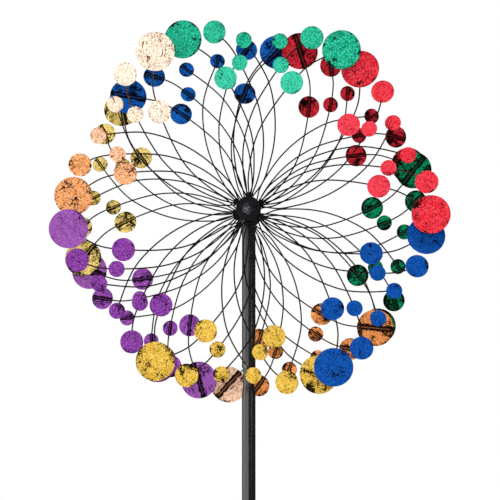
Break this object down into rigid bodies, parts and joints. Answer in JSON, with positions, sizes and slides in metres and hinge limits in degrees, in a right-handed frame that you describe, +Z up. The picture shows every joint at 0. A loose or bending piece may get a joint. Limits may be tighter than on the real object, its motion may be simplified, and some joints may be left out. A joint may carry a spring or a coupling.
{
  "type": "wind spinner",
  "caption": "Garden wind spinner: counter-turning wheels of curved wire arms tipped with coloured metal discs, on a sectional pole with a pronged ground stake.",
  "frame": {"origin": "on the pole's axis at the soil line, which is the underside of the stake's step bar", "axes": "+Z up along the pole, -Y towards the front wheel, +X to the right seen from the front"},
  "size_m": [0.6008, 0.2184, 1.9015],
  "materials": {
    "powder_coat": "satin black powder coat",
    "hub_paint": "satin black",
    "cap_plastic": "matt black moulded plastic",
    "black_steel": "black oxide",
    "zinc": "bright zinc plate",
    "bearing_steel": "ground steel",
    "paint_green": "distressed metallic paint over black on the discs, black on the wires",
    "paint_red": "distressed metallic paint over black on the discs, black on the wires",
    "paint_blue": "distressed metallic paint over black on the discs, black on the wires",
    "paint_gold": "distressed metallic paint over black on the discs, black on the wires",
    "paint_purple": "distressed metallic paint over black on the discs, black on the wires",
    "paint_copper": "distressed metallic paint over black on the discs, black on the wires"
  },
  "bodies": {
    "stand": {"ground_stake": "powder_coat", "lower_pole": "powder_coat", "middle_pole": "powder_coat", "upper_pole": "powder_coat", "head_tee": "powder_coat", "stake_screw": "zinc", "lower_joint_screw": "zinc", "upper_joint_screw": "zinc", "head_screw": "zinc", "axle": "black_steel", "front_jam_nut": "black_steel", "front_inner_washer": "zinc", "front_outer_washer": "zinc", "front_lock_nut": "black_steel", "front_cap": "cap_plastic", "front_cap_nut": "black_steel", "rear_jam_nut": "black_steel", "rear_inner_washer": "zinc", "rear_outer_washer": "zinc", "rear_lock_nut": "black_steel", "rear_cap": "cap_plastic", "rear_cap_nut": "black_steel"},
    "front_wheel": {"front_hub": "hub_paint", "front_inner_bearing": "bearing_steel", "front_outer_bearing": "bearing_steel", "front_arm_green": "paint_green", "front_arm_screw_green": "zinc", "front_arm_red": "paint_red", "front_arm_screw_red": "zinc", "front_arm_blue": "paint_blue", "front_arm_screw_blue": "zinc", "front_arm_gold": "paint_gold", "front_arm_screw_gold": "zinc", "front_arm_purple": "paint_purple", "front_arm_screw_purple": "zinc", "front_arm_copper": "paint_copper", "front_arm_screw_copper": "zinc"},
    "rear_wheel": {"rear_hub": "hub_paint", "rear_inner_bearing": "bearing_steel", "rear_outer_bearing": "bearing_steel", "rear_arm_green": "paint_green", "rear_arm_screw_green": "zinc", "rear_arm_red": "paint_red", "rear_arm_screw_red": "zinc", "rear_arm_blue": "paint_blue", "rear_arm_screw_blue": "zinc", "rear_arm_gold": "paint_gold", "rear_arm_screw_gold": "zinc", "rear_arm_purple": "paint_purple", "rear_arm_screw_purple": "zinc", "rear_arm_copper": "paint_copper", "rear_arm_screw_copper": "zinc"}
  },
  "joints": [
    {"name": "front_spin", "type": "hinge", "parent": "stand", "child": "front_wheel", "pos_m": [0, 0, 1.37], "axis": [0, 1, 0], "continuous": true},
    {"name": "rear_spin", "type": "hinge", "parent": "stand", "child": "rear_wheel", "pos_m": [0, 0, 1.37], "axis": [0, 1, 0], "continuous": true}
  ]
}
